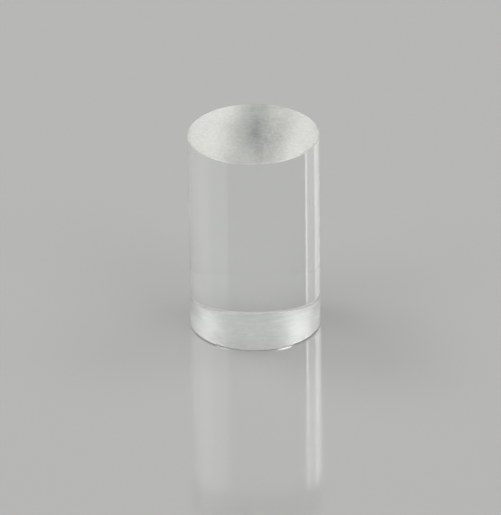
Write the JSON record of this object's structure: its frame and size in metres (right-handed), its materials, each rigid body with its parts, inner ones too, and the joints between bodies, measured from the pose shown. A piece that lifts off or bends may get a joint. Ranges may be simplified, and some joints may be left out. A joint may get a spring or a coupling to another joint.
{
  "type": "glass rod lens",
  "caption": "Solid glass cylinder with a polished barrel and flat ground ends, bevelled at both rims. It bends light across its axis into a line.",
  "frame": {"origin": "centre of the lower ground end, which the rod stands on", "axes": "+Z along the rod's axis towards the upper ground end; the rod looks the same all round, so +X and +Y are free"},
  "size_m": [0.01, 0.01, 0.016],
  "materials": {
    "crown_glass": "polished barrel, fine ground ends and bevels"
  },
  "bodies": {
    "root": {"rod_lens": "crown_glass"}
  },
  "joints": []
}
